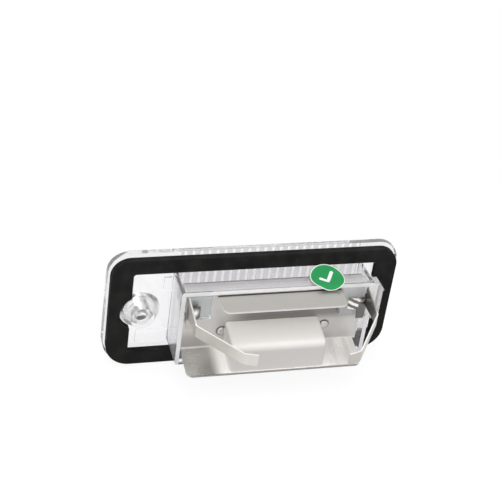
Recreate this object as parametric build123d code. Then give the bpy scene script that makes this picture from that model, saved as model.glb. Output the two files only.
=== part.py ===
from build123d import *
import os
from math import cos, radians, sin, tan

# Number plate lamp: a clear moulding with a foam gasket, a folded reflector bracket, a festoon bulb
# and two contact springs. Sizes are in millimetres.
# Each piece is drawn with x along the lamp, y up and z out of its rear, from the gasket's rear face.
# stand_up() then turns it so that z points up and the rear looks along -Y.

# Clear box that reaches through the vehicle's panel
box_length = 53.6
box_height = 23.7
box_depth = 8.8
box_wall = 1.1
box_corner = 0.8
box_rise = 0.65
box_gap = 0.4

# Bays beside the box, inside the gasket
screw_bay = 11.1
hook_bay = 3.3

# Foam gasket
gasket_thickness = 2.0
gasket_end_band = 6.0
gasket_long_band = 4.2
gasket_top_corner = 5.4
gasket_bottom_corner = 6.8
gasket_bay_corner = 0.8
hook_notch_depth = 2.2
hook_notch_drop = 5.7
hook_notch_sill = 1.4

# Lens plate in front of the gasket
flange_margin = 0.6
flange_top_margin = 1.2
lens_edge_top = 2.0
lens_edge_bottom = 3.3
lens_crown = 0.8
lens_edge_round = 0.7
flute_pitch = 2.2
flute_depth = 0.35
flute_margin = 0.5

# Screw boss in the left bay
screw_inset = 2.8
screw_hole = 3.6
screw_head_hole = 7.4
screw_seat = 2.6
boss_base = 11.2
boss_top = 6.4
boss_rise = 2.3
boss_gap = 0.1

# Raised moulding pads on the plate beside the box
pad_height = 0.3
long_pad_length = 8.6
long_pad_width = 4.4
short_pad_length = 2.0
short_pad_width = 3.8
short_pad_drop = 2.2
pad_gap = 0.3

# Hook rail on the right wall
hook_reach = 2.65
hook_head_reach = 3.05
hook_head_height = 2.4
hook_corner_drop = 1.95
hook_corner_cut = 1.45
hook_grip = 5.2
hook_top_inset = 0.65
hook_bottom_inset = 11.7

# Clear plates across the rear upper corners of the box
plate_thickness = 1.2
left_plate_height = 7.7
right_plate_height = 8.9
left_plate_gap = 1.35
right_plate_gap = 0.8

# Reflector bracket, one folded sheet
sheet = 0.5
sheet_bend = 0.8
bracket_gap = 0.2
panel_seat_gap = 0.1
return_depth = 4.6
hem_gap = 0.1
panel_height = 18.3
panel_left_gap = 0.3
panel_right_gap = 1.2
lip_length = 9.8
lip_slope = 12.5
lip_right_inset = 0.9
lip_corner = 1.9
flap_width = 34.1
flap_reach = 8.8
flap_corner = 1.9
trough_width = 26.3
trough_shift = -0.55
trough_top_drop = 9.6
trough_rim = 0.4
trough_slope = 12.5
trough_round = 2.0
trough_end_round = 0.8
dimple_spread = 29.0
dimple_drop = 3.1
dimple_width = 2.5
dimple_rise = 0.5
dimple_round = 0.45

# Contact springs
strip = 0.4
strip_width = 3.4
strip_rise = 7.3
strip_wall_gap = 0.65
strip_slot_gap = 0.3
strip_bend = 0.9
arm_bend = 2.0
arm_reach = 18.0
left_elbow_reach = 30.4
right_elbow_reach = 32.6
elbow_inset = 9.6
arm_end_length = 3.6
arm_end_slope = 18.0
gusset_rise = 2.2
left_tab_length = 3.2
right_tab_length = 5.0
tab_width = 3.6
tab_drop = 0.9
tab_lift = 0.6
tail_width = 2.2
tail_length = 3.5
leg_width = 5.0
leg_below_bulb = 3.6
leg_above_bulb = 3.4

# Festoon bulb
bulb_length = 41.0
bulb_drop = 2.65
bulb_glass_length = 24.0
bulb_glass_width = 8.6
bulb_glass_wall = 0.6
bulb_neck_width = 5.8
bulb_neck_length = 2.0
bulb_cap_width = 7.0
bulb_fit_gap = 0.05
bulb_tip_length = 2.6
bulb_tip_width = 3.2
bulb_panel_gap = 0.3
bulb_seat_gap = 0.1
contact_hole = 4.4
lead_width = 0.5
coil_width = 1.1
coil_length = 14.0

# Round inspection sticker
sticker_width = 9.6
sticker_thickness = 0.12
sticker_place = 13.95
sticker_wrap = 1.3
sticker_gap = 0.05

# Places worked out from the sizes above
opening_length = screw_bay + box_length + hook_bay
opening_height = box_height + 2 * (box_gap + box_rise)
gasket_length = opening_length + 2 * gasket_end_band
gasket_height = opening_height + 2 * gasket_long_band
flange_length = gasket_length + 2 * flange_margin
flange_top = gasket_height / 2 + flange_top_margin
flange_bottom = -gasket_height / 2 - flange_margin
plate_back = -gasket_thickness
lens_reach = gasket_thickness + lens_edge_bottom + 2 * lens_crown
box_left = -opening_length / 2 + screw_bay
box_right = box_left + box_length
box_middle = (box_left + box_right) / 2
box_top = box_rise + box_height / 2
box_bottom = box_rise - box_height / 2
inner_left = box_left + box_wall
inner_right = box_right - box_wall
inner_top = box_top - box_wall
inner_bottom = box_bottom + box_wall
screw_x = -opening_length / 2 + screw_inset
hook_top = box_top - hook_top_inset
hook_bottom = box_bottom + hook_bottom_inset
plate_front = box_depth - plate_thickness
panel_rear = plate_front - panel_seat_gap
panel_front = panel_rear - sheet
panel_left = inner_left + panel_left_gap
panel_right = inner_right - panel_right_gap
bracket_top = inner_top - bracket_gap
lip_root = bracket_top - panel_height
lip_front = panel_rear + lip_length * cos(radians(lip_slope))
lip_drop = lip_length * sin(radians(lip_slope))
flap_left = box_middle - flap_width / 2
flap_right = box_middle + flap_width / 2
trough_top = bracket_top - trough_top_drop
trough_middle = box_middle + trough_shift
trough_rear = lip_front - trough_rim
bulb_y = box_rise - bulb_drop
bulb_z = panel_front - bulb_panel_gap - bulb_cap_width / 2
strip_left = inner_left + strip_wall_gap
tip_slope = (bulb_cap_width - bulb_tip_width) / 2 / bulb_tip_length
seat_depth = (contact_hole / 2 - bulb_seat_gap - bulb_tip_width / 2) / tip_slope
half_seats = bulb_length / 2 - seat_depth
neck_end = bulb_glass_length / 2 + bulb_neck_length


def stand_up(piece):
    return Plane.XZ * piece


def block(left, right, bottom, top, front, rear):
    # Box between two faces along each axis
    size = (right - left, top - bottom, rear - front)
    return Pos((left + right) / 2, (bottom + top) / 2, (front + rear) / 2) * Box(*size)


def mirrored(piece):
    # The piece on the other side of the box's middle
    return Pos(box_middle, 0, 0) * mirror(Pos(-box_middle, 0, 0) * piece, about=Plane.YZ)


def outline(length, bottom, top, margin):
    # Upright outline of the gasket, or of a plate that stands past it by a margin at its corners
    form = Pos(0, (bottom + top) / 2) * Rectangle(length, top - bottom)
    form = fillet(form.vertices().group_by(Axis.Y)[-1], gasket_top_corner + margin)
    return fillet(form.vertices().group_by(Axis.Y)[0], gasket_bottom_corner + margin)


def gasket_piece():
    ring = outline(gasket_length, -gasket_height / 2, gasket_height / 2, 0)
    opening = RectangleRounded(opening_length, opening_height, gasket_bay_corner)
    boss_bay = Pos(screw_x, 0) * Circle(boss_base / 2 + boss_gap)
    notch_width = hook_bay + hook_notch_depth
    notch_height = opening_height - hook_notch_drop - hook_notch_sill
    notch_x = opening_length / 2 + hook_notch_depth - notch_width / 2
    notch_y = (hook_notch_sill - hook_notch_drop) / 2
    notch = Pos(notch_x, notch_y) * Rectangle(notch_width, notch_height)
    return extrude(ring - opening - boss_bay - notch, amount=-gasket_thickness)


def lens_plate():
    # Outline of the plate, cut by a cylinder to a front that is crowned and thicker at the bottom
    top_edge = (flange_top, plate_back - lens_edge_top)
    bottom_edge = (flange_bottom, plate_back - lens_edge_bottom)
    middle_front = (top_edge[1] + bottom_edge[1]) / 2 - lens_crown
    crown = ThreePointArc(bottom_edge, ((flange_top + flange_bottom) / 2, middle_front), top_edge)
    round_end = Plane.YZ * Pos(crown.arc_center) * Circle(crown.radius)
    form = Plane.XY.offset(plate_back) * outline(flange_length, flange_bottom, flange_top, flange_margin)
    plate = extrude(form, amount=-lens_reach) & extrude(round_end, amount=flange_length, both=True)
    front = plate.faces().sort_by(Axis.Z)[0]
    return fillet(front.edges(), lens_edge_round)


def flute_cutter():
    # Row of shallow grooves side by side, along the lamp's height
    free_length = inner_right - inner_left - 2 * flute_margin
    count = int(free_length / flute_pitch)
    start = box_middle - count * flute_pitch / 2
    grooves = Sketch()
    for index in range(count):
        left = start + index * flute_pitch
        right = left + flute_pitch
        deep = ((left + right) / 2, plate_back - flute_depth)
        arc = ThreePointArc((left, plate_back), deep, (right, plate_back))
        grooves += make_face([arc, Line(arc @ 1, arc @ 0)])
    top = Plane.XZ.offset(flute_margin - inner_top)
    return extrude(top * grooves, amount=inner_top - inner_bottom - 2 * flute_margin)


def screw_boss():
    # Cone that stands out past the gasket's rear face
    base = Plane.XY.offset(plate_back) * Pos(screw_x, 0) * Circle(boss_base / 2)
    top = Plane.XY.offset(boss_rise) * Pos(screw_x, 0) * Circle(boss_top / 2)
    return loft([base, top])


def screw_cutter():
    hole = Plane.XY.offset(boss_rise) * Pos(screw_x, 0) * Circle(screw_hole / 2)
    head = Plane.XY.offset(-screw_seat) * Pos(screw_x, 0) * Circle(screw_head_hole / 2)
    return extrude(hole, amount=-boss_rise - lens_reach) + extrude(head, amount=-lens_reach)


def hook_rail():
    # Rail on the right wall, with a head that leans out at its top and has its corner cut off
    rail = box_right + hook_reach
    head = box_right + hook_head_reach
    form = Polyline(
        (box_right, hook_bottom),
        (rail, hook_bottom),
        (rail, hook_top - hook_head_height),
        (head, hook_top - hook_corner_drop),
        (head - hook_corner_cut, hook_top),
        (box_right, hook_top),
        close=True,
    )
    return extrude(Plane.XY.offset(hook_grip) * make_face(form), amount=box_depth - hook_grip)


def strip_slot(front, rear):
    # Opening beside the left wall that the contact spring passes through
    right = strip_left + strip + strip_slot_gap
    half = strip_width / 2 + strip_slot_gap
    return block(inner_left, right, strip_rise - half, strip_rise + half, front, rear)


def lens_piece():
    # Box hollowed from the rear, on the crowned and fluted lens plate
    place = Plane.XY.offset(plate_back) * Pos(box_middle, box_rise)
    shell = place * RectangleRounded(box_length, box_height, box_corner)
    body = lens_plate() + extrude(shell, amount=box_depth - plate_back)
    body -= block(inner_left, inner_right, inner_bottom, inner_top, plate_back, box_depth)
    left_end = flap_left - left_plate_gap
    left_bottom = inner_top - left_plate_height
    body += block(inner_left, left_end, left_bottom, inner_top, plate_front, box_depth)
    right_end = flap_right + right_plate_gap
    right_bottom = inner_top - right_plate_height
    body += block(right_end, inner_right, right_bottom, inner_top, plate_front, box_depth)
    body += hook_rail()
    body += screw_boss()
    pad_right = box_left - pad_gap
    pad_rear = plate_back + pad_height
    long_top = box_bottom + long_pad_width
    body += block(pad_right - long_pad_length, pad_right, box_bottom, long_top, plate_back, pad_rear)
    short_top = box_top - short_pad_drop
    short_bottom = short_top - short_pad_width
    body += block(pad_right - short_pad_length, pad_right, short_bottom, short_top, plate_back, pad_rear)
    slot = strip_slot(plate_front, box_depth)
    return body - slot - mirrored(slot) - screw_cutter() - flute_cutter()


def trough_block(inset, front, rear):
    # Block of the trough, with a roof that slopes down to the rear, reaching down past the lip
    bottom = lip_root - lip_length
    slope = tan(radians(trough_slope))
    section = Polyline(
        (bottom, front),
        (bottom, rear),
        (trough_top - inset - (rear - panel_front) * slope, rear),
        (trough_top - inset - (front - panel_front) * slope, front),
        close=True,
    )
    left = Plane.YZ.offset(trough_middle - trough_width / 2 + inset)
    form = extrude(left * make_face(section), amount=trough_width - 2 * inset)
    brow = form.edges().filter_by(Axis.X).group_by(Axis.Z)[-1].sort_by(Axis.Y)[-1]
    form = fillet(brow, trough_round - inset)
    behind = [edge for edge in form.edges() if edge.center().Z > front + trough_rim]
    long_edges = form.edges().filter_by(Axis.X)
    ends = [edge for edge in behind if edge not in long_edges and edge.center().Y > bottom + trough_rim]
    return fillet(ends, trough_end_round - inset)


def folded_sheet():
    # Upper leaf under the top wall, hemmed back on the lower leaf, then panel and sloping lip
    middle = panel_rear - sheet / 2
    upper = bracket_top - sheet / 2
    lower = upper - sheet - hem_gap
    hem_radius = (upper - lower) / 2
    hem = panel_rear - return_depth + sheet / 2 + hem_radius
    fold = lip_root + sheet / 2
    leaf = Line((upper, panel_rear), (upper, hem))
    turn = ThreePointArc(leaf @ 1, ((upper + lower) / 2, hem - hem_radius), (lower, hem))
    down = FilletPolyline(
        turn @ 1,
        (lower, middle),
        (fold, middle),
        (fold - lip_drop, lip_front),
        radius=sheet_bend,
    )
    side = Plane.YZ.offset(panel_left) * trace(leaf + turn + down, sheet)
    body = extrude(side, amount=panel_right - panel_left)
    lip_right = panel_right - lip_right_inset
    lip_bottom = lip_root - lip_length
    body -= block(lip_right, panel_right, lip_bottom, lip_root + sheet, panel_rear, lip_front + sheet)
    corners = [edge for edge in body.edges() if edge.length < 2 * sheet and edge.center().Z > trough_rear]
    return fillet(corners, lip_corner)


def flap_on(body):
    # Flap that the upper leaf carries out of the rear, between the corner plates
    flap_rear = panel_rear + flap_reach
    flap = block(flap_left, flap_right, bracket_top - sheet, bracket_top, panel_rear, flap_rear)
    return body + fillet(flap.edges().filter_by(Axis.Y).group_by(Axis.Z)[-1], flap_corner)


def trough_on(body):
    # Trough pressed out of the panel and the lip, open to the front and below
    outer = trough_block(0, panel_front, trough_rear)
    inner = trough_block(sheet, panel_front - sheet, trough_rear - sheet)
    above_lip = Polyline(
        (trough_top, panel_front),
        (trough_top, lip_front),
        (lip_root - lip_drop, lip_front),
        (lip_root, panel_front),
        close=True,
    )
    kept = extrude(Plane.YZ.offset(panel_left) * make_face(above_lip), amount=panel_right - panel_left)
    return body - inner + ((outer - inner) & kept)


def dimple():
    # Rounded stud at the trough's left end
    x = box_middle - dimple_spread / 2
    place = Plane.XY.offset(panel_front) * Pos(x, trough_top - dimple_drop)
    stud = extrude(place * Circle(dimple_width / 2), amount=sheet + dimple_rise)
    return fillet(stud.faces().sort_by(Axis.Z)[-1].edges(), dimple_round)


def bracket_piece():
    body = flap_on(folded_sheet())
    body += dimple()
    body += mirrored(dimple())
    body = trough_on(body)
    slot = strip_slot(panel_front, panel_rear)
    return body - slot - mirrored(slot)


def contact_piece(elbow_reach, tab_length):
    # Left spring: arm out of the rear, leg with a hole for the bulb's tip, tab over the corner plate
    root = strip_left + strip / 2
    leg_x = box_middle - half_seats - strip / 2
    leg_front = bulb_z - leg_width / 2
    elbow = (root + elbow_inset, elbow_reach)
    end_x = elbow[0] + arm_end_length * cos(radians(arm_end_slope))
    end_z = elbow[1] + arm_end_length * sin(radians(arm_end_slope))
    arm_points = [(root, leg_front), (root, arm_reach), elbow, (end_x, end_z)]
    arm_path = FilletPolyline(*arm_points, radius=arm_bend)
    arm = extrude(Plane.XZ.offset(-strip_rise) * trace(arm_path, strip), amount=strip_width / 2, both=True)
    leg_path = FilletPolyline(
        (root, strip_rise + strip_width / 2),
        (root, strip_rise - strip_width / 2),
        (leg_x, bulb_y + leg_above_bulb),
        (leg_x, bulb_y - leg_below_bulb),
        radius=strip_bend,
    )
    leg = extrude(Plane.XY.offset(leg_front) * trace(leg_path, strip), amount=leg_width)
    strip_top = strip_rise + strip_width / 2
    gusset_form = Polyline(
        (strip_top, box_depth),
        (strip_top + gusset_rise, box_depth),
        (strip_top, arm_reach),
        close=True,
    )
    gusset = extrude(Plane.YZ.offset(strip_left) * make_face(gusset_form), amount=strip)
    tab_start = box_depth + strip / 2
    tab_middle = (root + tab_length / 2, tab_start + tab_lift)
    tab_path = ThreePointArc((root, tab_start), tab_middle, (root + tab_length, tab_start))
    tab_plane = Plane.XZ.offset(tab_drop - strip_rise)
    tab = extrude(tab_plane * trace(tab_path, strip), amount=tab_width / 2, both=True)
    tail_top = strip_rise - tab_drop
    tail_bottom = tail_top - tab_width / 2 - tail_length
    tail = block(strip_left, strip_left + tail_width, tail_bottom, tail_top, box_depth, box_depth + strip)
    hole = Plane.YZ.offset(leg_x) * Pos(bulb_y, bulb_z) * Circle(contact_hole / 2)
    return arm + leg + gusset + tab + tail - extrude(hole, amount=strip, both=True)


def bulb_place(profile):
    # Turned piece about the bulb's own axis
    return Pos(box_middle, bulb_y, bulb_z) * revolve(profile, Axis.X)


def bulb_glass_piece():
    # Tube with sloping shoulders and a neck at each end, open into the caps
    sections = []
    for inset in (0, bulb_glass_wall):
        radius = bulb_glass_width / 2 - inset
        neck = bulb_neck_width / 2 - inset
        shoulder_end = bulb_glass_length / 2 - inset
        straight = shoulder_end - (radius - neck)
        half = Polyline(
            (-neck_end, 0),
            (-neck_end, neck),
            (-shoulder_end, neck),
            (-straight, radius),
            (straight, radius),
            (shoulder_end, neck),
            (neck_end, neck),
            (neck_end, 0),
            close=True,
        )
        sections.append(make_face(half))
    return bulb_place(sections[0] - sections[1])


def bulb_cap_piece():
    # Right cap: cup over the glass neck, with a conical tip
    cup = bulb_glass_length / 2
    bore = bulb_neck_width / 2 + bulb_fit_gap
    cone = bulb_length / 2 - bulb_tip_length
    outline = Polyline(
        (cup, bore),
        (cup, bulb_cap_width / 2),
        (cone, bulb_cap_width / 2),
        (bulb_length / 2, bulb_tip_width / 2),
        (bulb_length / 2, 0),
        (neck_end, 0),
        (neck_end, bore),
        close=True,
    )
    return bulb_place(make_face(outline))


def filament_piece():
    # Lead wires from cap to cap with the wound coil between them
    half_coil = coil_length / 2
    outline = Polyline(
        (-neck_end, 0),
        (-neck_end, lead_width / 2),
        (-half_coil, lead_width / 2),
        (-half_coil, coil_width / 2),
        (half_coil, coil_width / 2),
        (half_coil, lead_width / 2),
        (neck_end, lead_width / 2),
        (neck_end, 0),
        close=True,
    )
    return bulb_place(make_face(outline))


def sticker_piece():
    # Disc on the box's top wall, with its last stretch bent over the wall's rear edge
    x = box_middle + sticker_place
    edge_y = box_top + sticker_gap
    edge_z = box_depth + sticker_gap
    disc = Pos(0, sticker_width / 2 - sticker_wrap) * Circle(sticker_width / 2)
    upper = Pos(0, sticker_width / 2) * Rectangle(sticker_width, sticker_width)
    wrap_height = sticker_wrap + sticker_thickness
    lower = Pos(0, sticker_thickness - wrap_height / 2) * Rectangle(sticker_width, wrap_height)
    flat_plane = Plane(origin=(x, edge_y, edge_z + sticker_thickness), x_dir=(1, 0, 0), z_dir=(0, 1, 0))
    bent_plane = Plane(origin=(x, edge_y, edge_z), x_dir=(1, 0, 0), z_dir=(0, 0, 1))
    flat = extrude(flat_plane * (disc & upper), amount=sticker_thickness)
    bent = extrude(bent_plane * (disc & lower), amount=sticker_thickness)
    return flat + bent


pieces = {
    "lens_housing": lens_piece(),
    "gasket": gasket_piece(),
    "reflector_bracket": bracket_piece(),
    "contact_spring_left": contact_piece(left_elbow_reach, left_tab_length),
    "contact_spring_right": mirrored(contact_piece(right_elbow_reach, right_tab_length)),
    "bulb_glass": bulb_glass_piece(),
    "bulb_cap_left": mirrored(bulb_cap_piece()),
    "bulb_cap_right": bulb_cap_piece(),
    "bulb_filament": filament_piece(),
    "inspection_sticker": sticker_piece(),
}

os.makedirs("parts", exist_ok=True)
for name, piece in pieces.items():
    export_step(stand_up(piece), f"parts/{name}.step")
    print(name, round(piece.volume, 2))
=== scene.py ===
import math

import bmesh
import bpy
import numpy as np
from mathutils import Matrix, Vector


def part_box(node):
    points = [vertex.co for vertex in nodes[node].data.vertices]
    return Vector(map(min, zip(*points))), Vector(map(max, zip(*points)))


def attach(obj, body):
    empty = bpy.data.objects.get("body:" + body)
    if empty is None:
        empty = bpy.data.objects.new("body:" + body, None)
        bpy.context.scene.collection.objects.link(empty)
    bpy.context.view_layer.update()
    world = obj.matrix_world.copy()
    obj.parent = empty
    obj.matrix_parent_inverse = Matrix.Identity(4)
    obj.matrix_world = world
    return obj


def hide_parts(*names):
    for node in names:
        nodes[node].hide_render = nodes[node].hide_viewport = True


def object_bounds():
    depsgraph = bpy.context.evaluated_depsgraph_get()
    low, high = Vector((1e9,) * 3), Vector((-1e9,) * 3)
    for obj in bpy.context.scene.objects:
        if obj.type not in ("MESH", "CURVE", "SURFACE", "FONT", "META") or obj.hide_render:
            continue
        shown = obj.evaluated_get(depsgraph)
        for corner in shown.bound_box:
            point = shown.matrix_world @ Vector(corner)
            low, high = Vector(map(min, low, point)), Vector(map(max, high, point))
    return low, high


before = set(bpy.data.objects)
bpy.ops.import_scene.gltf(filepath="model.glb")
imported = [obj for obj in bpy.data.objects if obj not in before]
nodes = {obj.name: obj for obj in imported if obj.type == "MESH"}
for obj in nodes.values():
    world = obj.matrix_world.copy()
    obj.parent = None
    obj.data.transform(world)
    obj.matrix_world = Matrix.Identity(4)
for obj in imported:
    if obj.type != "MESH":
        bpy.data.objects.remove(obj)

cadLow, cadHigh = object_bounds()  # the CAD box, before anything is added
scene = bpy.context.scene
mm = 0.001
print("frame:", len(nodes), "nodes")


class Wire:
    # one socket of a node tree; sums written on wires become Math nodes
    def __init__(self, tree, socket=None):
        self.tree = tree
        self.socket = socket

    def plug(self, socket, value):
        if isinstance(value, Wire):
            self.tree.links.new(value.socket, socket)
        else:
            socket.default_value = value

    def node(self, kind, settings=None, sockets=None, out=0):
        made = self.tree.nodes.new(kind)
        for key, value in (settings or {}).items():
            setattr(made, key, value)
        for key, value in (sockets or {}).items():
            self.plug(made.inputs[key], value)
        return Wire(self.tree, made.outputs[out])

    def maths(self, operation, *terms):
        return self.node("ShaderNodeMath", {"operation": operation}, dict(enumerate(terms)))

    def measure(self, operation, *vectors):  # a number from vectors
        sockets = dict(enumerate(vectors))
        return self.node("ShaderNodeVectorMath", {"operation": operation}, sockets, out="Value")

    def __add__(self, other):
        return self.maths("ADD", self, other)

    def __radd__(self, other):
        return self.maths("ADD", other, self)

    def __sub__(self, other):
        return self.maths("SUBTRACT", self, other)

    def __rsub__(self, other):
        return self.maths("SUBTRACT", other, self)

    def __mul__(self, other):
        return self.maths("MULTIPLY", self, other)

    def __rmul__(self, other):
        return self.maths("MULTIPLY", other, self)

    def __truediv__(self, other):
        return self.maths("DIVIDE", self, other)

    def __rtruediv__(self, other):
        return self.maths("DIVIDE", other, self)

    def rise(self, low, high):  # smooth step from 0 at low to 1 at high
        span = {"Value": self, "From Min": low, "From Max": high}
        return self.node("ShaderNodeMapRange", {"interpolation_type": "SMOOTHSTEP"}, span)

    def tint(self, first, second):  # colour from first to second
        blend = {0: self, 6: first, 7: second}  # factor and the two colours
        return self.node("ShaderNodeMix", {"data_type": "RGBA"}, blend, out=2)

    def after(self, start, soft):  # 0 up to start, rising to 1 over soft
        return self.rise(start, start + soft)

    def before(self, end, soft):  # 1 up to end, falling to 0 over soft
        return 1 - self.after(end, soft)

    def absolute(self):
        return self.maths("ABSOLUTE", self)

    def larger(self, other):
        return self.maths("MAXIMUM", self, other)

    def diagonal(self, other):  # length of a flat vector with these two parts
        return self.maths("SQRT", self * self + other * other)

    def noise(self, size, detail=3.0, stretch=(1, 1, 1)):  # self is a place, size is the grain
        stretched = self.node("ShaderNodeMapping", None, {"Vector": self, "Scale": stretch})
        sockets = {"Vector": stretched, "Scale": 1 / size, "Detail": detail}
        return self.node("ShaderNodeTexNoise", None, sockets)

    def bump(self, depth):  # self is a height from 0 to 1
        return self.node("ShaderNodeBump", None, {"Height": self, "Distance": depth, "Strength": 1.0})

    def parts(self):  # x, y and z of a vector
        split = self.node("ShaderNodeSeparateXYZ", None, {0: self}).socket.node
        return [Wire(self.tree, socket) for socket in split.outputs]


def newFinish(name):
    # material with its shader, and the place on the piece in metres
    finish = bpy.data.materials.new(name)
    finish.use_nodes = True
    tree = finish.node_tree
    place = Wire(tree).node("ShaderNodeTexCoord", out="Object")
    return finish, tree.nodes["Principled BSDF"], place


def normalParts(place):  # x, y and z of the surface's direction
    return place.node("ShaderNodeTexCoord", out="Normal").parts()


def setSockets(wire, shader, values):
    for key, value in values.items():
        wire.plug(shader.inputs[key], value)


# Clear moulding: faint lilac, with haze and moulding waves, milky rear edges with a painted shadow line
# just inside them, and a thin veil on the walls, the rim, the right corner plate, the hook rail and the
# screw boss
clearMoulding = {
    "clean": (0.965, 0.957, 0.968, 1),
    "hazy": (0.93, 0.92, 0.94, 1),
    "ior": 1.47,
    "clearness": 0.97,
    "gloss": 0.03,
    "haze": 0.06,
    "hazeSize": 9 * mm,
    "hazeLimits": (0.4, 0.75),
    "waveSize": 6 * mm,
    "waveDepth": 0.008 * mm,
    "soft": 0.05 * mm,
    "boxMiddle": 3.9 * mm,
    "innerHalf": 25.7 * mm,
    "outerHalf": 26.85 * mm,
    "innerTop": 11.4 * mm,
    "edge": (0.97, 0.965, 0.97, 1),
    "edgeStart": 8.7 * mm,
    "edgeFrost": 0.8,
    "frostRough": 0.4,
    "wallStart": 0.3 * mm,
    "wallVeil": 0.07,
    "sideSkin": 26.6 * mm,
    "sideSoft": 0.1 * mm,
    "sideVeil": 0.14,
    "rimStart": 2.05 * mm,
    "rimLimits": (0.4, 0.7),
    "rimVeil": 0.2,
    # painted shadow: a dark line just inside the rear edges of the walls
    "rearShadowLine": (0.60, 0.59, 0.60, 1),
    "rearShadowStart": 8.25 * mm,
    "plate": (0.93, 0.972, 0.98, 1),
    "plateStart": 7.5 * mm,
    "plateRight": (10 * mm, 20 * mm),
    "plateVeil": 0.3,
    "railSide": 30.72 * mm,
    "railStart": 5 * mm,
    "railVeil": 0.3,
    "bossMiddle": -31.2 * mm,
    "bossHalf": 5.75 * mm,
    "bossStart": -1.95 * mm,
    "bossVeil": 0.14,
    "bossRough": 0.07,
    "flute": (0.64, 0.63, 0.655, 1),
    "flutePitch": 2.2 * mm,
    "fluteLeft": (0.2, 0.35),
    "fluteRight": (0.85, 1.0),
    "fluteHalf": 25.2 * mm,
    "fluteNear": 1.97 * mm,
    "fluteNearSoft": 0.03 * mm,
    "fluteFar": 2.6 * mm,
    "fluteFarSoft": 0.1 * mm,
}


def fluteShade(aside, y):
    # each groove of the lens is greyer on its right side, as if lit from the left
    v = clearMoulding
    across = aside.maths("FRACT", aside / v["flutePitch"])
    groove = across.rise(*v["fluteLeft"]) * (1 - across.rise(*v["fluteRight"]))
    groove = groove * aside.absolute().before(v["fluteHalf"], v["soft"])
    groove = groove * y.after(v["fluteNear"], v["fluteNearSoft"])
    return groove * y.before(v["fluteFar"], v["fluteFarSoft"])


def clearMouldingFinish():
    v = clearMoulding
    soft = v["soft"]
    finish, shader, place = newFinish("clearMoulding")
    x, y, z = place.parts()
    out = 0 - y  # distance out of the rear
    aside = x - v["boxMiddle"]
    fromMiddle = aside.absolute()
    cloud = place.noise(v["hazeSize"], detail=4.0).rise(*v["hazeLimits"])
    wave = place.noise(v["waveSize"], detail=1.0)
    within = fromMiddle.before(v["innerHalf"] - soft, soft) * z.before(v["innerTop"] - soft, soft)
    inBox = fromMiddle.before(v["outerHalf"], soft)
    plate = within * out.after(v["plateStart"], soft)
    edge = (1 - within) * out.after(v["edgeStart"], soft) * inBox
    # painted shadow line on the walls, just inside their rear edge
    rearShadowLine = (1 - within) * out.after(v["rearShadowStart"], soft) * (1 - edge) * inBox
    boss = (x - v["bossMiddle"]).diagonal(z).before(v["bossHalf"], soft)
    boss = boss * out.after(v["bossStart"], soft)
    rail = x.after(v["railSide"], soft) * out.after(v["railStart"], soft)
    wall = out.after(v["wallStart"], v["wallStart"])
    side = fromMiddle.after(v["sideSkin"], v["sideSoft"]) * inBox * (1 - edge) * wall
    facing = normalParts(place)[1]
    rim = (1 - facing.absolute().rise(*v["rimLimits"])) * y.after(v["rimStart"], soft)
    moulded = plate.tint(cloud.tint(v["clean"], v["hazy"]), v["plate"])
    moulded = rearShadowLine.tint(moulded, v["rearShadowLine"])
    setSockets(place, shader, {
        "Base Color": fluteShade(aside, y).tint(moulded, v["flute"]),
        "Roughness": v["gloss"] + cloud * v["haze"] + boss * v["bossRough"],
        "IOR": v["ior"],
        "Transmission Weight": v["clearness"],
        "Normal": wave.bump(v["waveDepth"]),
    })
    milky = v["edgeFrost"] * edge + v["wallVeil"] * wall + v["sideVeil"] * side + v["rimVeil"] * rim
    milky = milky + v["plateVeil"] * plate * x.rise(*v["plateRight"])
    milky = milky + v["bossVeil"] * boss + v["railVeil"] * rail
    frost = {"Base Color": v["edge"], "Roughness": v["frostRough"]}
    frosted = place.node("ShaderNodeBsdfPrincipled", None, frost)
    clear = Wire(place.tree, shader.outputs[0])
    both = place.node("ShaderNodeMixShader", None, {0: milky, 1: clear, 2: frosted})
    place.plug(place.tree.nodes["Material Output"].inputs["Surface"], both)
    return finish


# Black cell foam: fine pores and a few pale specks
blackFoam = {
    "deep": (0.006, 0.006, 0.006, 1),
    "worn": (0.022, 0.021, 0.020, 1),
    "speck": (0.07, 0.068, 0.065, 1),
    "speckSize": 0.56 * mm,
    "speckLimits": (0.70, 0.80),
    "poreSize": 0.35 * mm,
    "poreDepth": 0.10 * mm,
    "patchSize": 5 * mm,
    "patchLimits": (0.3, 0.75),
    "rough": 0.82,
    "roughRange": 0.12,
    "sheen": 0.2,
}


def blackFoamFinish():
    v = blackFoam
    finish, shader, place = newFinish("blackFoam")
    pore = place.noise(v["poreSize"], detail=4.0)
    patch = place.noise(v["patchSize"]).rise(*v["patchLimits"])
    speck = place.noise(v["speckSize"], detail=2.0).rise(*v["speckLimits"])
    worn = patch.tint(v["deep"], v["worn"])
    setSockets(place, shader, {
        "Base Color": speck.tint(worn, v["speck"]),
        "Roughness": v["rough"] + patch * v["roughRange"],
        "Specular IOR Level": v["sheen"],
        "Normal": pore.bump(v["poreDepth"]),
    })
    return finish


# Grain of all sheet metal: lines drawn or rolled one way, and smudges
sheetGrain = {
    "smudgeLimits": (0.35, 0.72),
    "smudgeTint": 0.6,
    "smudgeRough": 0.5,
}


def grainOf(place, v):
    # colour, roughness and bumps of a sheet with the values v
    g = sheetGrain
    line = place.noise(v["lineSize"], stretch=v["lineStretch"])
    smudge = place.noise(v["smudgeSize"], detail=4.0).rise(*g["smudgeLimits"])
    dulled = g["smudgeTint"] * smudge + (1 - g["smudgeTint"]) * line
    roughened = g["smudgeRough"] * smudge + (1 - g["smudgeRough"]) * line
    rough = v["rough"] + v["roughRange"] * roughened
    return dulled.tint(v["bright"], v["dull"]), rough, line.bump(v["lineDepth"])


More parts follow.
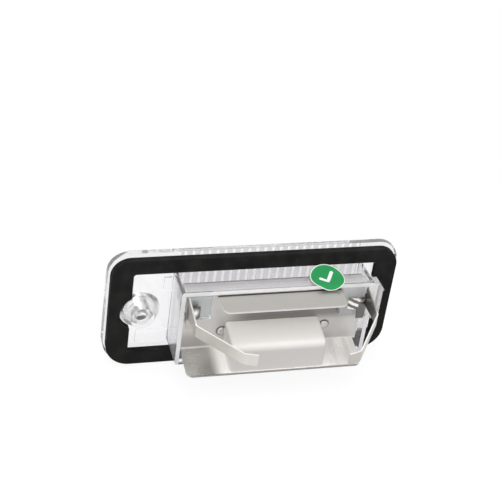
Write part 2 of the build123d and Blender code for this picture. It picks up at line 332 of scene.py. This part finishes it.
def sheetFinish(name, v):
    # plain metal with its grain alone
    finish, shader, place = newFinish(name)
    metal, rough, bumps = grainOf(place, v)
    setSockets(place, shader, {
        "Base Color": metal,
        "Metallic": 1.0,
        "Roughness": rough,
        "Normal": bumps,
    })
    return finish


# Bracket: satin rolled sheet. The upper leaf is painted pale as light, the flap dull with sheared edges
# painted bright as a highlight, the trough satin white with painted light on its roof. Painted shade
# darkens the hem, the flap's root, rings round the dimples, and the panel under the flap and in its
# lower left corner, with the lower right a little darker too; the lip is streaked with painted
# highlights, and carries a painted reflection of the trough beside it
bracketSheet = {
    "bright": (0.69, 0.675, 0.66, 1),
    "dull": (0.56, 0.545, 0.53, 1),
    "flap": (0.50, 0.485, 0.455, 1),
    "lipLeft": (0.55, 0.53, 0.505, 1),
    "lipRight": (0.66, 0.64, 0.615, 1),
    "lipEdge": (0.36, 0.35, 0.335, 1),
    # painted light: the upper leaf, seen through the top wall, is paler and matter than the rest of the
    # sheet
    "leaf": (0.80, 0.795, 0.785, 1),
    # painted shadow at the flap's root, in the fold at the hem and round the dimples
    "seamShadow": (0.09, 0.088, 0.085, 1),
    # painted shade under the flap and in the panel's lower corners
    "paintedShade": (0.20, 0.192, 0.185, 1),
    # bright streaks on the lip: rolled marks drawn as painted highlights
    "streakHighlight": (0.97, 0.95, 0.925, 1),
    # sheared edges painted bright: bare metal with a painted highlight
    "shearedHighlight": (0.95, 0.95, 0.94, 1),
    "white": (0.84, 0.815, 0.79, 1),
    # painted light: the trough's roof, facing up, is lighter than its sides
    "roof": (0.98, 0.955, 0.92, 1),
    "roofLimits": (0.3, 0.85),
    "metal": 0.85,
    "leafMatt": 0.8,
    "reflectionMatt": 0.75,
    "sheen": 0.25,
    "rough": 0.34,
    "roughRange": 0.14,
    "lipPolish": 0.14,
    "whiteRough": 0.8,
    "lineSize": 0.25 * mm,
    "lineStretch": (0.03, 1, 1),
    "lineDepth": 0.004 * mm,
    "smudgeSize": 8 * mm,
    "streakSize": 3.2 * mm,
    "streakStretch": (1, 0.08, 0.08),
    "streakLimits": (0.38, 0.62),
    "streakShare": 0.75,
    # painted reflection of the white trough on the lip beside it, made matt
    "troughReflection": (14.4 * mm, 18.6 * mm),
    "mattRight": (14 * mm, 17 * mm),
    "lipAcross": (-14 * mm, 18 * mm),
    "hemFront": 3.6 * mm,
    "hemShare": 0.75,
    "boxRear": 8.8 * mm,
    "seamWidth": 0.55 * mm,
    "shearedLimits": (0.3, 0.7),
    # where the painted shade lies on the panel
    "shadeUp": (-0.5 * mm, 2.6 * mm),
    "shadeAcross": (-12 * mm, -2 * mm),
    "shadeFade": (4 * mm, 7 * mm),
    "shadeFaded": 0.5,
    "shadeShare": 0.85,
    "lowLeftUp": (-4 * mm, -0.5 * mm),
    "lowLeftAcross": (-17 * mm, -10 * mm),
    "lowLeftShare": 0.35,
    "lowRightAcross": (16 * mm, 19 * mm),
    "lowRightShare": 0.15,
    "panelSkin": 7.3 * mm,
    "dimpleMiddle": 3.9 * mm,
    "dimpleSpread": 14.5 * mm,
    "dimpleHeight": -1.5 * mm,
    "dimpleHalf": 1.25 * mm,
    "dimpleShare": 0.7,
    "troughMiddle": 3.35 * mm,
    "troughHalf": 13.2 * mm,
    "troughStart": 7.6 * mm,
    "troughTop": 4 * mm,
    "lipRoot": -7.1 * mm,
    "lipStart": 7.5 * mm,
    "lipEnd": 16.75 * mm,
    "lipFall": 0.2217,
    "lipSkin": 0.58 * mm,
    "flapUnder": 10.4 * mm,
    "flapStart": 7.7 * mm,
    "soft": 0.15 * mm,
}


def panelShade(x, z):
    # painted shade: darkest under the flap and weaker in the panel's lower left corner; the lower right
    # corner is a little darker too
    v = bracketSheet
    high = z.rise(*v["shadeUp"])
    paintedShade = high * x.rise(*v["shadeAcross"]) * (1 - v["shadeFaded"] * z.rise(*v["shadeFade"]))
    lowLeft = (1 - z.rise(*v["lowLeftUp"])) * (1 - x.rise(*v["lowLeftAcross"]))
    lowRight = (1 - high) * x.rise(*v["lowRightAcross"])
    return v["shadeShare"] * paintedShade + v["lowLeftShare"] * lowLeft + v["lowRightShare"] * lowRight


def dimpleShade(x, z):
    # painted shade in a ring round each of the two dimples
    v = bracketSheet
    soft = v["soft"]
    aside = (x - v["dimpleMiddle"]).absolute() - v["dimpleSpread"]
    fromDimple = aside.diagonal(z - v["dimpleHeight"])
    groove = fromDimple.after(v["dimpleHalf"] - 2 * soft, 2 * soft)
    return groove * fromDimple.before(v["dimpleHalf"] + soft, 2 * soft)


def bracketFinish():
    v = bracketSheet
    soft = v["soft"]
    finish, shader, place = newFinish("bracketSheet")
    x, y, z = place.parts()
    out = 0 - y  # distance out of the rear
    level = normalParts(place)[2]
    metal, rough, bumps = grainOf(place, v)
    aside = (x - v["troughMiddle"]).absolute()
    overLip = z - v["lipRoot"] + (out - v["lipStart"]) * v["lipFall"]
    offLip = overLip.after(v["lipSkin"], soft)
    white = out.after(v["troughStart"], soft) * offLip
    white = white * aside.before(v["troughHalf"], soft) * z.before(v["troughTop"], soft)
    upper = z.after(v["flapUnder"], soft)
    behind = out.after(v["flapStart"], soft)
    flap = upper * behind
    leaf = upper * (1 - behind)
    # painted shade in the fold at the upper leaf's front
    hem = leaf * out.before(v["hemFront"], 2 * soft)
    # painted shadow where the flap comes out from under the top wall
    seamShadow = flap * out.after(v["boxRear"] - soft, soft) * out.before(v["boxRear"] + v["seamWidth"], soft)
    # the flap's edge faces painted bright, a painted highlight on the sheared metal
    shearedHighlight = flap * (1 - level.absolute().rise(*v["shearedLimits"]))
    onPanel = out.after(v["panelSkin"], soft) * (1 - behind) * (1 - upper)
    # painted shade on the panel's rear face
    paintedShade = onPanel * panelShade(x, z)
    # painted shade: the flap's root, the hem and the rings round the dimples darkened
    dark = seamShadow.larger(v["hemShare"] * hem)
    dark = dark.larger(v["dimpleShare"] * onPanel * dimpleShade(x, z))
    lip = (1 - offLip) * out.after(v["lipStart"], 3 * soft)
    lipEnd = out.after(v["lipEnd"], soft)
    rightward = x.rise(*v["lipAcross"])
    # painted reflection of the trough on the lip, brightest beside it
    troughReflection = 1 - aside.rise(*v["troughReflection"])
    # streaks on the lip, partly rolled marks and partly painted highlights, joined with the trough's
    # painted reflection
    streakHighlight = place.noise(v["streakSize"], detail=2.0, stretch=v["streakStretch"])
    streakHighlight = troughReflection.larger(v["streakShare"] * streakHighlight.rise(*v["streakLimits"]) * rightward)
    matt = lip * troughReflection.larger(x.rise(*v["mattRight"]))
    # painted light on the upper leaf, painted shade on the panel
    rolled = leaf.tint(paintedShade.tint(metal, v["paintedShade"]), v["leaf"])
    rolled = lip.tint(rolled, streakHighlight.tint(rightward.tint(v["lipLeft"], v["lipRight"]), v["streakHighlight"]))
    rolled = shearedHighlight.tint(flap.tint(rolled, v["flap"]), v["shearedHighlight"])
    rolled = lipEnd.tint(dark.tint(rolled, v["seamShadow"]), v["lipEdge"])
    # satin white paint, with painted light on the faces that look up
    whiteAndLitRoof = level.rise(*v["roofLimits"]).tint(v["white"], v["roof"])
    bareAndGlint = (1 - white) * (1 - shearedHighlight) * (1 - v["leafMatt"] * leaf) * (1 - v["reflectionMatt"] * matt)
    rough = rough - v["lipPolish"] * lip
    setSockets(place, shader, {
        "Base Color": white.tint(rolled, whiteAndLitRoof),
        "Metallic": v["metal"] * bareAndGlint,
        "Roughness": rough + white * (v["whiteRough"] - rough),
        "Specular IOR Level": v["sheen"],
        "Normal": bumps,
    })
    return finish


# Spring strip: a little warmer, drawn along its length, with edges painted bright as a highlight and
# the left arm's far end painted pale as light; the right one is dark near the box, with painted glints
# in bands across its tab for creases, and the left one has a painted highlight in a painted shadow ring
# on its tab
springStrip = {
    "bright": (0.57, 0.545, 0.505, 1),
    "dull": (0.47, 0.445, 0.41, 1),
    # edges painted bright: sheared metal with a painted highlight
    "shearedHighlight": (0.95, 0.94, 0.92, 1),
    # painted light: the left arm's far end painted pale
    "pale": (0.70, 0.675, 0.64, 1),
    "dark": (0.16, 0.154, 0.142, 1),
    "metal": 0.9,
    "rough": 0.28,
    "roughRange": 0.14,
    "lineSize": 0.2 * mm,
    "lineStretch": (0.2, 0.03, 1),
    "lineDepth": 0.003 * mm,
    "smudgeSize": 5 * mm,
    "shearedLimits": (0.6, 0.9),
    "shearedNear": 0.3,
    "shearedStart": 17 * mm,
    "shearedDark": 0.8,
    "creaseMiddle": 27.5 * mm,
    "creaseHeight": 6.35 * mm,
    "creaseSlope": 0.4,
    "creasePitch": 1.9 * mm,
    "creaseGrain": 0.9 * mm,
    "creaseWobble": 0.7 * mm,
    # painted glints on the right tab
    "facetStart": (0.22, 0.36),
    "facetEnd": (0.66, 0.84),
    "facetShare": 0.9,
    "tailSide": 26.4 * mm,
    "tailSoft": 0.2 * mm,
    "tailTopSoft": 0.1 * mm,
    "rootSide": 28.3 * mm,
    "rootSoft": 0.1 * mm,
    "paleOut": (25 * mm, 31 * mm),
    "paleAcross": (8 * mm, 10 * mm),
    "darkStart": 22 * mm,
    "darkBox": 8.5 * mm,
    "darkBoxSoft": 0.2 * mm,
    "tabRear": 10.5 * mm,
    "darkFade": (15 * mm, 18.5 * mm),
    # painted highlight on the left tab, in a painted shadow ring
    "spotPlace": (-19.0 * mm, -9.6 * mm, 6.6 * mm),
    "spotEdge": (0.45 * mm, 0.9 * mm),
    "ringStart": (0.9 * mm, 1.5 * mm),
    "ringEnd": (3 * mm, 3.3 * mm),
    "ringShare": 0.85,
    "soft": 1 * mm,
}


def tabGlints(place, x, z):
    # painted glints: bright bands between painted creases on the right tab; each crease is a wobbly V
    # that rises to both sides
    v = springStrip
    height = z - v["creaseHeight"] - v["creaseSlope"] * (x - v["creaseMiddle"]).absolute()
    wobble = place.noise(v["creaseGrain"], detail=2.0) - 0.5  # noise is about 0.5 on average
    height = height + v["creaseWobble"] * wobble
    across = height.maths("FRACT", height / v["creasePitch"])
    facetGlint = v["facetShare"] * across.rise(*v["facetStart"]) * (1 - across.rise(*v["facetEnd"]))
    tail = x.after(v["tailSide"], v["tailSoft"]) * height.before(0, v["tailTopSoft"])
    return facetGlint * (1 - tail)


def stripFinish():
    v = springStrip
    soft = v["soft"]
    finish, shader, place = newFinish("springStrip")
    x, y, z = place.parts()
    out = 0 - y  # distance out of the rear
    metal, rough, bumps = grainOf(place, v)
    outside = out.after(v["darkBox"], v["darkBoxSoft"])
    onTab = outside * out.before(v["tabRear"], soft)
    onTab = onTab * x.before(v["rootSide"] - v["rootSoft"], v["rootSoft"])
    facetGlint = tabGlints(place, x, z) * onTab
    # the strip's top and bottom edges painted bright as a highlight, weaker near the box
    shearedHighlight = normalParts(place)[2].absolute().rise(*v["shearedLimits"])
    far = out.after(v["shearedStart"], soft)
    shearedHighlight = shearedHighlight * (v["shearedNear"] + (1 - v["shearedNear"]) * far)
    rightArm = x.after(v["darkStart"], soft)
    dark = rightArm * outside * (1 - out.rise(*v["darkFade"]))
    dark = dark * (1 - facetGlint) * (1 - v["shearedDark"] * shearedHighlight)
    # painted highlight on the left tab's spot, in a painted shadow ring
    fromSpot = place.measure("DISTANCE", place, v["spotPlace"])
    ring = fromSpot.rise(*v["ringStart"]) * (1 - fromSpot.rise(*v["ringEnd"]))
    dark = dark.larger(v["ringShare"] * ring * onTab)
    # the spot and the right tab's bands take the painted highlight colour
    bareAndGlint = (1 - fromSpot.rise(*v["spotEdge"])).larger(facetGlint * rightArm)
    # painted light towards the left arm's far end
    pale = out.rise(*v["paleOut"]) * (1 - x.rise(*v["paleAcross"]))
    drawn = shearedHighlight.tint(pale.tint(metal, v["pale"]), v["shearedHighlight"])
    setSockets(place, shader, {
        "Base Color": bareAndGlint.tint(dark.tint(drawn, v["dark"]), v["shearedHighlight"]),
        "Metallic": v["metal"],
        "Roughness": rough,
        "Normal": bumps,
    })
    return finish


# Bulb glass: thin, with a faint smoky film
bulbGlass = {
    "clean": (0.97, 0.975, 0.97, 1),
    "film": (0.86, 0.86, 0.85, 1),
    "filmSize": 6 * mm,
    "filmLimits": (0.45, 0.8),
    "rough": 0.01,
    "roughRange": 0.03,
    "ior": 1.5,
}


def bulbGlassFinish():
    v = bulbGlass
    finish, shader, place = newFinish("bulbGlass")
    film = place.noise(v["filmSize"], detail=2.0).rise(*v["filmLimits"])
    setSockets(place, shader, {
        "Base Color": film.tint(v["clean"], v["film"]),
        "Roughness": v["rough"] + film * v["roughRange"],
        "IOR": v["ior"],
        "Transmission Weight": 1.0,
    })
    return finish


# Bulb caps: plated brass with dull patches and turning rings
capPlate = {
    "bright": (0.80, 0.76, 0.68, 1),
    "dull": (0.52, 0.48, 0.42, 1),
    "rough": 0.22,
    "roughRange": 0.25,
    "lineSize": 0.18 * mm,
    "lineStretch": (1, 0.02, 0.02),
    "lineDepth": 0.004 * mm,
    "smudgeSize": 3 * mm,
}

# Tungsten wire: dark, matt, with a drawn grain
tungsten = {
    "bright": (0.34, 0.32, 0.30, 1),
    "dull": (0.16, 0.15, 0.15, 1),
    "rough": 0.35,
    "roughRange": 0.2,
    "lineSize": 0.1 * mm,
    "lineStretch": (1, 1, 1),
    "lineDepth": 0.002 * mm,
    "smudgeSize": 1 * mm,
}

# Round sticker: glossy green paper, thin white edge, plain white tick
stickerPrint = {
    "green": (0.008, 0.27, 0.07, 1),
    "greenWorn": (0.013, 0.31, 0.085, 1),
    "paper": (0.86, 0.87, 0.85, 1),
    "edge": 0.475,  # where the white edge starts, in widths from the middle
    "tick": ((-0.20, 0.03), (-0.06, -0.13), (0.22, 0.16)),
    "tickTurn": -14,
    "stroke": 0.05,
    "soft": 0.008,
    "middle": 0.5,  # of the flat disc, in widths
    "mottle": 2.5 * mm,
    "mottleLimits": (0.35, 0.8),
    "rough": 0.32,
    "roughRange": 0.12,
    "sheen": 0.3,
    "grainSize": 0.5 * mm,
    "grainDepth": 0.004 * mm,
}


def stickerFinish():
    # each stroke of the tick is white up to a distance from its middle line
    v = stickerPrint
    finish, shader, place = newFinish("stickerGreen")
    flat = place.node("ShaderNodeTexCoord", out="UV")
    moved = {"Vector": flat, "Location": (-v["middle"], -v["middle"], 0)}
    centred = place.node("ShaderNodeMapping", None, moved)
    spun = {"Vector": centred, "Rotation": (0, 0, math.radians(v["tickTurn"]))}
    x, y, _ = place.node("ShaderNodeMapping", None, spun).parts()
    away = centred.measure("LENGTH", centred)
    white = away.rise(v["edge"] - v["soft"], v["edge"] + v["soft"])
    for start, end in zip(v["tick"], v["tick"][1:]):
        alongX = end[0] - start[0]
        alongY = end[1] - start[1]
        squared = alongX ** 2 + alongY ** 2
        share = (x - start[0]) * (alongX / squared) + (y - start[1]) * (alongY / squared)
        share = share.maths("MINIMUM", share, 1.0)
        share = share.larger(0.0)
        offX = x - start[0] - share * alongX
        offY = y - start[1] - share * alongY
        gap = offX.diagonal(offY)
        stroke = 1 - gap.rise(v["stroke"] - v["soft"], v["stroke"] + v["soft"])
        white = white.larger(stroke)
    worn = place.noise(v["mottle"], detail=4.0).rise(*v["mottleLimits"])
    setSockets(place, shader, {
        "Base Color": white.tint(worn.tint(v["green"], v["greenWorn"]), v["paper"]),
        "Roughness": v["rough"] + worn * v["roughRange"],
        "Specular IOR Level": v["sheen"],
        "Normal": place.noise(v["grainSize"], detail=2.0).bump(v["grainDepth"]),
    })
    return finish


finishes = {
    "lens_housing": clearMouldingFinish(),
    "gasket": blackFoamFinish(),
    "reflector_bracket": bracketFinish(),
    "bulb_glass": bulbGlassFinish(),
    "contact_spring_left": stripFinish(),
    "bulb_cap_left": sheetFinish("capPlate", capPlate),
    "bulb_filament": sheetFinish("tungsten", tungsten),
    "inspection_sticker": stickerFinish(),
}
finishes["contact_spring_right"] = finishes["contact_spring_left"]
finishes["bulb_cap_right"] = finishes["bulb_cap_left"]
for nodeName, finish in finishes.items():
    nodes[nodeName].data.materials.clear()
    nodes[nodeName].data.materials.append(finish)
print("finishes:", len(set(finishes.values())))

mergeGap = 1e-7  # points nearer than this become one, in metres


def gridPiece(name, points, finish, uv=None):
    # surface through an array of rows and columns of points, with the last column joined to the first
    rows, columns, _ = points.shape
    index = np.arange(rows * columns).reshape(rows, columns)
    following = np.roll(index, -1, axis=1)
    faces = np.stack([index[:-1], following[:-1], following[1:], index[1:]], axis=-1).reshape(-1, 4)
    mesh = bpy.data.meshes.new(name)
    mesh.from_pydata(points.reshape(-1, 3).tolist(), [], faces.tolist())
    if uv is not None:
        flat = uv.reshape(-1, 2)[faces.ravel()]
        mesh.uv_layers.new(name="UVMap").data.foreach_set("uv", flat.astype(np.float32).ravel())
    work = bmesh.new()
    work.from_mesh(mesh)
    bmesh.ops.remove_doubles(work, verts=work.verts, dist=mergeGap)
    bmesh.ops.recalc_face_normals(work, faces=work.faces)
    work.to_mesh(mesh)
    work.free()
    mesh.shade_smooth()
    mesh.materials.append(finish)
    piece = bpy.data.objects.new(name, mesh)
    scene.collection.objects.link(piece)
    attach(piece, "root")
    return piece


# Sticker: disc laid on the top wall, bent over its rear edge, far side lifted off
sticker = {
    "wrap": 1.59 * mm,
    "bend": 1.1 * mm,
    "bendAngle": 80,
    "lift": 1.97 * mm,
    "liftStart": 2.0 * mm,
    "thickness": 0.12 * mm,
    "rings": 40,
    "turns": 128,
}


def stickerPiece():
    # a point at radius r and angle t of the flat disc has a distance along from the rear edge; past
    # the edge the paper runs round a bend and then straight, and on the box it rises with the square
    # of its distance from where the lift starts
    v = sticker
    low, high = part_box("inspection_sticker")
    radius = (high.x - low.x) / 2
    middle = (high.x + low.x) / 2
    top = high.z - v["thickness"] / 2
    rear = low.y + v["thickness"] / 2
    shares = np.linspace(0, 1, v["rings"])
    side = np.concatenate([np.ones(v["rings"]), -np.ones(v["rings"])])  # upper face, then underside
    r = radius * np.concatenate([shares, shares[::-1]])[:, None]
    t = np.linspace(0, 2 * np.pi, v["turns"], endpoint=False)[None, :]
    across = r * np.cos(t)
    along = radius - v["wrap"] + r * np.sin(t)  # distance from the rear edge, negative beyond it
    beyond = np.maximum(-along, 0)
    angle = np.minimum(beyond / v["bend"], math.radians(v["bendAngle"]))
    straight = beyond - angle * v["bend"]
    lifted = np.maximum(along - v["liftStart"], 0) / (2 * radius - v["liftStart"])
    y = rear + np.maximum(along, 0) - v["bend"] * np.sin(angle) - straight * np.cos(angle)
    z = top - v["bend"] * (1 - np.cos(angle)) - straight * np.sin(angle) + v["lift"] * lifted ** 2
    offset = side[:, None] * v["thickness"] / 2
    y = y - offset * np.sin(angle)
    z = z + offset * np.cos(angle)
    points = np.stack([middle + across, y, z], axis=-1)
    flat = np.stack([across, r * np.sin(t)], axis=-1)
    uv = stickerPrint["middle"] + flat / (2 * radius)
    piece = gridPiece("sticker_disc", points, finishes["inspection_sticker"], uv)
    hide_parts("inspection_sticker")


# Filament: coiled wire with a straight lead to each cap
filament = {
    "wire": 0.16 * mm,
    "coil": 1.0 * mm,
    "coilLength": 14 * mm,
    "turns": 34,
    "steps": 1400,
    "sides": 8,
    "runIn": 0.05,
}


def filamentPiece():
    # the wire's middle turns about the bulb's axis on a radius that grows from 0 at each lead;
    # a circle is carried along it, square to the path
    v = filament
    low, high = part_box("bulb_filament")
    middle = (low + high) / 2
    share = np.linspace(-0.5, 0.5, v["steps"])
    x = share * (high.x - low.x)
    within = np.clip(x / v["coilLength"] + 0.5, 0, 1)
    grow = np.clip(np.minimum(within, 1 - within) / v["runIn"], 0, 1)
    radius = (v["coil"] - v["wire"]) / 2 * grow ** 2 * (3 - 2 * grow)  # smooth step
    angle = 2 * np.pi * v["turns"] * within
    radial = np.stack([0 * x, np.cos(angle), np.sin(angle)], axis=-1)
    path = np.stack([x, 0 * x, 0 * x], axis=-1) + radius[:, None] * radial + np.array(middle)
    tangent = np.gradient(path, axis=0)
    tangent /= np.linalg.norm(tangent, axis=1, keepdims=True)
    first = radial - (radial * tangent).sum(1, keepdims=True) * tangent
    first /= np.linalg.norm(first, axis=1, keepdims=True)
    second = np.cross(tangent, first)
    turn = np.linspace(0, 2 * np.pi, v["sides"], endpoint=False)
    ring = first[:, None] * np.cos(turn)[:, None] + second[:, None] * np.sin(turn)[:, None]
    points = path[:, None] + v["wire"] / 2 * ring
    firstEnd = np.repeat(path[:1, None], v["sides"], axis=1)
    lastEnd = np.repeat(path[-1:, None], v["sides"], axis=1)
    points = np.concatenate([firstEnd, points, lastEnd])
    piece = gridPiece("filament_coil", points, finishes["bulb_filament"])
    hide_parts("bulb_filament")


stickerPiece()
filamentPiece()
print("pieces: sticker and filament")

# Studio: pale floor that runs out to white, soft lamps, white room
studio = {
    "floorSize": 8.0,
    "floorShade": 0.13,
    "floorGlow": 0.89,
    "fadeStart": 0.15,
    "fadeEnd": 0.8,
    "roomSide": 0.6,
    "roomTop": 0.64,
    "glossSide": 0.75,
    "backdropLimits": (0.0, 0.5),
    "heightLimits": (0.0, 0.9),
    "lamps": (  # name, place, size and power
        ("topBox", (-0.05, -0.05, 0.60), 0.40, 1.0),
        ("frontBox", (-0.14, -0.43, 0.36), 0.40, 1.2),
        ("leftBox", (-0.55, -0.20, 0.35), 0.35, 0.4),
        ("rightBox", (0.50, -0.35, 0.30), 0.30, 0.4),
    ),
}

# Camera fitted to the photo: angles in degrees, lens and sensor in millimetres
photoCamera = {
    "place": (-106.88 * mm, -290.87 * mm, 226.10 * mm),
    "azimuth": -19.62,
    "elevation": 33.83,
    "roll": 8.42,
    "lens": 100.8,
    "sensor": 36,
    "clipStart": 0.01,
}


def seenRays(wire):
    # shares of rays from the camera, and of rays that reach it by way of metal or glass
    camera = wire.node("ShaderNodeLightPath", out="Is Camera Ray")
    glossy = wire.node("ShaderNodeLightPath", out="Is Glossy Ray")
    through = wire.node("ShaderNodeLightPath", out="Is Transmission Ray")
    return camera, glossy.larger(through)


def backDirection():  # from the lamp towards the photo's camera
    turn = math.radians(photoCamera["azimuth"])
    tilt = math.radians(photoCamera["elevation"])
    flat = math.cos(tilt)
    return Vector((math.sin(turn) * flat, -math.cos(turn) * flat, math.sin(tilt)))


def makeRoom():
    # world: white behind the lamp as the photo's camera sees it, greyer on the camera's own side
    v = studio
    world = bpy.data.worlds.new("studioRoom")
    world.use_nodes = True
    scene.world = world
    wire = Wire(world.node_tree)
    direction = wire.node("ShaderNodeTexCoord", out="Generated")
    ahead = -backDirection()
    backdrop = wire.measure("DOT_PRODUCT", direction, (ahead.x, ahead.y, 0.0))
    backdrop = backdrop.rise(*v["backdropLimits"])
    height = direction.parts()[2].rise(*v["heightLimits"])
    room = v["roomSide"] + (v["roomTop"] - v["roomSide"]) * height
    camera, mirrored = seenRays(wire)
    inMirror = v["glossSide"] + (1 - v["glossSide"]) * backdrop
    white = camera.larger(mirrored * inMirror)
    shade = room + white * (1 - room)
    background = world.node_tree.nodes["Background"]
    wire.plug(background.inputs["Color"], (1, 1, 1, 1))
    wire.plug(background.inputs["Strength"], shade)


def makeFloor():
    # near the lamp the floor is partly lit, so that it takes the shadow; further out it only glows
    v = studio
    half = v["floorSize"] / 2
    mesh = bpy.data.meshes.new("floor")
    corners = [(-half, -half), (half, -half), (half, half), (-half, half)]
    mesh.from_pydata([(x, y, cadLow.z) for x, y in corners], [], [(0, 1, 2, 3)])
    finish, shader, place = newFinish("paleFloor")
    away = place.measure("LENGTH", place)
    fade = away.rise(v["fadeStart"], v["fadeEnd"])
    camera, mirrored = seenRays(place)
    seen = camera.larger(mirrored)
    shade = v["floorShade"] * (1 - fade)
    glow = seen * (v["floorGlow"] + (1 - v["floorGlow"]) * fade)
    setSockets(place, shader, {
        "Base Color": place.node("ShaderNodeCombineColor", None, {0: shade, 1: shade, 2: shade}),
        "Roughness": 1.0,
        "Specular IOR Level": 0.0,
        "Emission Color": place.node("ShaderNodeCombineColor", None, {0: glow, 1: glow, 2: glow}),
        "Emission Strength": 1.0,
    })
    mesh.materials.append(finish)
    floor = bpy.data.objects.new("floor", mesh)
    scene.collection.objects.link(floor)


def makeLamps():
    for name, place, size, power in studio["lamps"]:
        light = bpy.data.lights.new(name, "AREA")
        light.size = size
        light.energy = power
        lamp = bpy.data.objects.new(name, light)
        lamp.location = place
        lamp.rotation_mode = "QUATERNION"
        lamp.rotation_quaternion = (-Vector(place)).to_track_quat("-Z", "Y")
        lamp.visible_camera = False
        scene.collection.objects.link(lamp)


def makeCamera():
    v = photoCamera
    back = backDirection()
    turn = math.radians(v["azimuth"])
    level = Vector((math.cos(turn), math.sin(turn), 0))
    upright = back.cross(level)
    roll = math.radians(v["roll"])
    right = level * math.cos(roll) + upright * math.sin(roll)
    up = back.cross(right)
    data = bpy.data.cameras.new("photoCamera")
    data.lens = v["lens"]
    data.sensor_width = v["sensor"]
    data.clip_start = v["clipStart"]
    camera = bpy.data.objects.new("photoCamera", data)
    axes = Matrix((right, up, back)).transposed()
    camera.matrix_world = Matrix.Translation(v["place"]) @ axes.to_4x4()
    scene.collection.objects.link(camera)
    scene.camera = camera


makeRoom()
makeFloor()
makeLamps()
makeCamera()
scene.view_settings.view_transform = "Standard"
print("studio: room, floor, lamps and camera")
